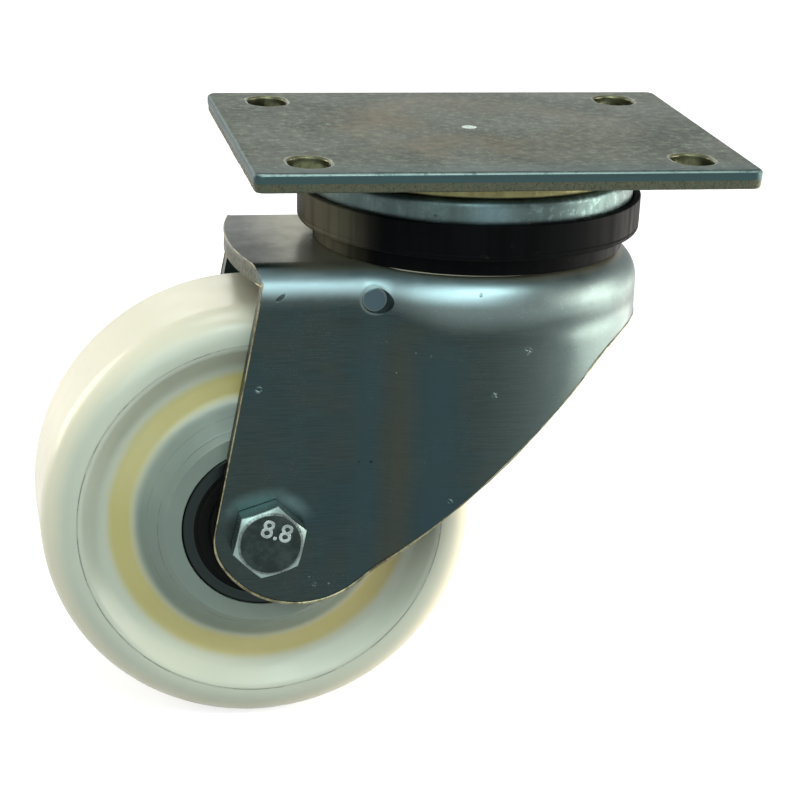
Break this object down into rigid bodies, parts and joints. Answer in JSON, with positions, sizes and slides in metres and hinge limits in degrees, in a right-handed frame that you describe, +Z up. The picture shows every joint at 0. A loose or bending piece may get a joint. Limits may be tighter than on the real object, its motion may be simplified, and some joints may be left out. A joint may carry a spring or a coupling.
{
  "type": "swivel caster",
  "caption": "Heavy-duty swivel caster: slotted rectangular top plate, ball-bearing swivel head with seal ring, pressed steel fork and solid nylon wheel on an axle bolt.",
  "frame": {"origin": "centre of the top plate's upper face, on the swivel axis", "axes": "+Z up out of the plate; the wheel trails towards -X; the axle lies along Y with the bolt head on the -Y side"},
  "size_m": [0.1945, 0.11, 0.171],
  "materials": {
    "zinc_plate": "zinc plated, dull, with brown heat stains",
    "zinc_tinted": "zinc plated, yellow weld tint",
    "zinc_race": "zinc plated, pressed",
    "zinc_fork": "blue zinc plated pressed sheet, satin",
    "zinc_fastener": "bright zinc plated",
    "turned_steel": "turned, oiled",
    "bearing_steel": "ground bearing steel",
    "cage_steel": "pressed cage",
    "black_seal": "black moulded seal ring, slight gloss",
    "bearing_rubber": "black bearing seal",
    "nylon_cream": "natural cast nylon, satin",
    "insert_nylon": "nylon locking ring"
  },
  "bodies": {
    "plate": {"top_plate": "zinc_plate", "head_ring": "zinc_tinted", "upper_race": "zinc_race", "kingpin": "turned_steel", "lower_race": "turned_steel", "kingpin_washer": "zinc_fastener", "kingpin_nut": "zinc_fastener"},
    "upper_row": {"upper_balls": "bearing_steel", "upper_cage": "cage_steel"},
    "lower_row": {"lower_balls": "bearing_steel", "lower_cage": "cage_steel"},
    "fork": {"fork": "zinc_fork", "seal_ring": "black_seal", "axle_bolt": "zinc_fastener", "axle_washer": "zinc_fastener", "axle_nut": "zinc_fastener", "nut_insert": "insert_nylon", "axle_tube": "turned_steel", "bearing_spacer": "turned_steel", "shim_washer_left": "zinc_fastener", "shim_washer_right": "zinc_fastener", "bearing_inner_ring_left": "bearing_steel", "bearing_inner_ring_right": "bearing_steel"},
    "wheel": {"wheel": "nylon_cream", "bearing_outer_ring_left": "bearing_steel", "bearing_outer_ring_right": "bearing_steel", "bearing_seal_left_inner": "bearing_rubber", "bearing_seal_left_outer": "bearing_rubber", "bearing_seal_right_inner": "bearing_rubber", "bearing_seal_right_outer": "bearing_rubber"},
    "bearing_rows": {"bearing_balls_left": "bearing_steel", "bearing_balls_right": "bearing_steel", "bearing_cage_left": "cage_steel", "bearing_cage_right": "cage_steel"}
  },
  "joints": [
    {"name": "swivel", "type": "hinge", "parent": "plate", "child": "fork", "pos_m": [0, 0, 0], "axis": [0, 0, 1], "continuous": true},
    {"name": "upper_row_turn", "type": "hinge", "parent": "plate", "child": "upper_row", "pos_m": [0, 0, 0], "axis": [0, 0, 1], "continuous": true},
    {"name": "lower_row_turn", "type": "hinge", "parent": "plate", "child": "lower_row", "pos_m": [0, 0, 0], "axis": [0, 0, 1], "continuous": true},
    {"name": "wheel_spin", "type": "hinge", "parent": "fork", "child": "wheel", "pos_m": [-0.062, 0, -0.1085], "axis": [0, 1, 0], "continuous": true},
    {"name": "bearing_row_turn", "type": "hinge", "parent": "fork", "child": "bearing_rows", "pos_m": [-0.062, 0, -0.1085], "axis": [0, 1, 0], "continuous": true}
  ],
  "couplings": [
    {"joint": "upper_row_turn", "follows": "swivel", "ratio": 0.5},
    {"joint": "lower_row_turn", "follows": "swivel", "ratio": 0.5},
    {"joint": "bearing_row_turn", "follows": "wheel_spin", "ratio": 0.6185}
  ]
}
